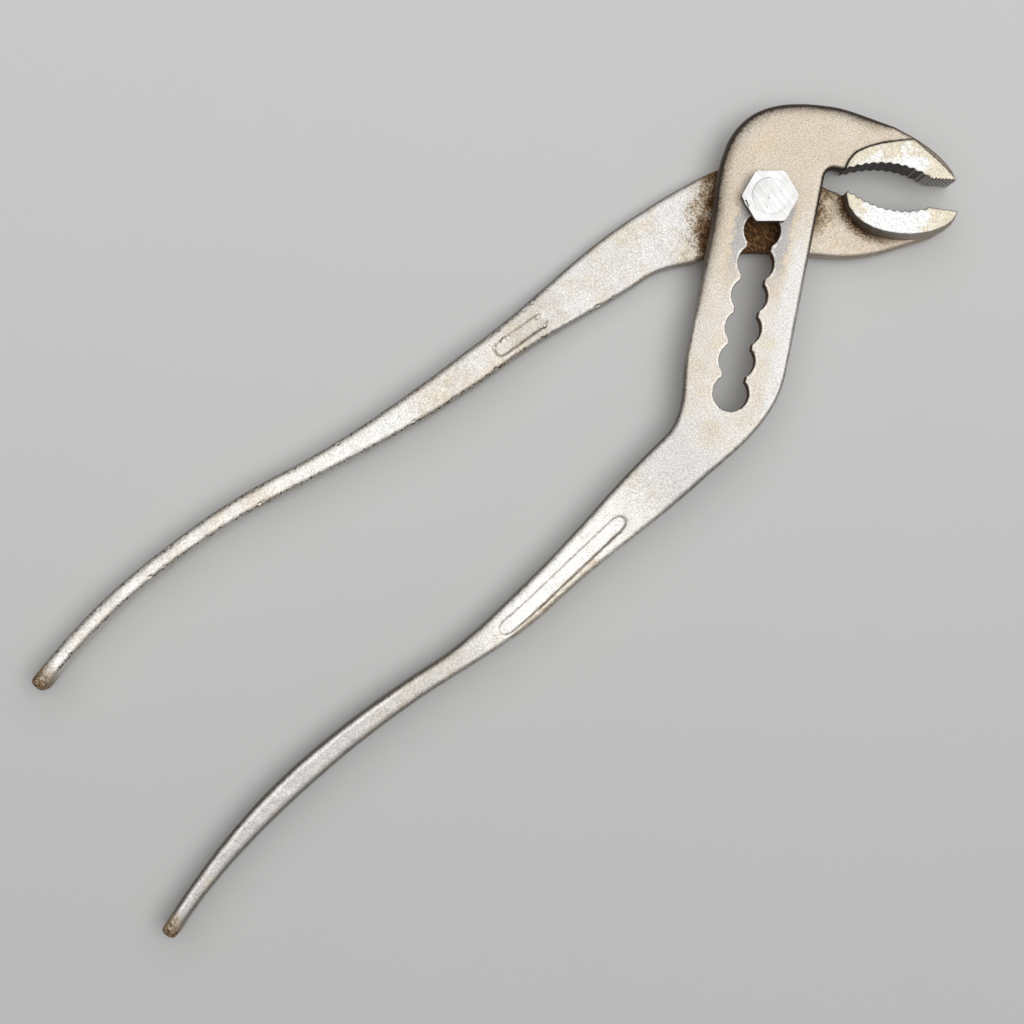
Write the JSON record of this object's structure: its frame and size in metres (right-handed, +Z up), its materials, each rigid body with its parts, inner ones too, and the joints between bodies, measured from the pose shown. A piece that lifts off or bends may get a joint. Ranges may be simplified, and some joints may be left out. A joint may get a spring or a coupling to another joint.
{
  "type": "water pump pliers",
  "caption": "Forged steel water pump pliers: a toothed jaw on a plate with a stepped slot, a second jaw on a bolt and nut that slide and turn in it, and two slim curved handles.",
  "frame": {"origin": "On the pivot axis, in the plane of the back faces on which the pliers lie, with the pivot in the slot's first step, at the jaws.", "axes": "+X along the tool from the handles to the jaws, +Y towards the back of the head, +Z up out of the nut."},
  "size_m": [0.2563, 0.0773, 0.0174],
  "materials": {
    "slotted_forging": "worn matte plating over forged steel, sandy grain, brown stains at the edges",
    "plain_forging": "worn matte plating over forged steel, rust-brown where the other arm rubs",
    "bolt_steel": "smooth turned steel with a peened end",
    "nut_steel": "bright worn steel"
  },
  "bodies": {
    "slotted_arm": {"slotted_arm": "slotted_forging"},
    "pivot": {"pivot_bolt": "bolt_steel", "pivot_nut": "nut_steel"},
    "plain_arm": {"plain_arm": "plain_forging"}
  },
  "joints": [
    {"name": "slot_slide", "type": "slide", "parent": "slotted_arm", "child": "pivot", "axis": [-0.7314, -0.682, 0], "range_m": [0, 0.0468]},
    {"name": "arm_pivot", "type": "hinge", "parent": "pivot", "child": "plain_arm", "pos_m": [0, 0, 0], "axis": [0, 0, 1], "range_deg": [-45, 8.4]}
  ]
}
